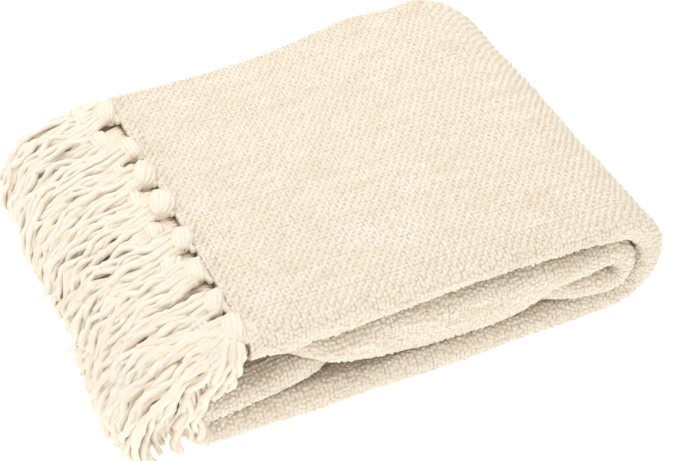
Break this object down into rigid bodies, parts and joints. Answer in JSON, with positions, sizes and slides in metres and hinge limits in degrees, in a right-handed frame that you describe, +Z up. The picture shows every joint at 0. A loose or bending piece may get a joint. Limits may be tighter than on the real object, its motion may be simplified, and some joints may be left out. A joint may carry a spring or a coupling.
{
  "type": "folded chenille throw blanket",
  "caption": "Chunky woven chenille throw with knotted tassel ends, folded in quarters both ways and lying flat as a soft rounded stack.",
  "frame": {"origin": "bottom centre of the folded stack's box, on the surface that it rests on", "axes": "+Z up, +X along the folded length from the tassels to the round outer fold, +Y from the front edge to the back edge"},
  "size_m": [0.456, 0.3374, 0.1023],
  "materials": {
    "woven_chenille": "matte bobbled chenille plain weave",
    "fringe_yarn": "soft matte chenille yarn"
  },
  "bodies": {
    "root": {"blanket": "woven_chenille", "fringe_top": "fringe_yarn", "fringe_inner": "fringe_yarn"}
  },
  "joints": []
}
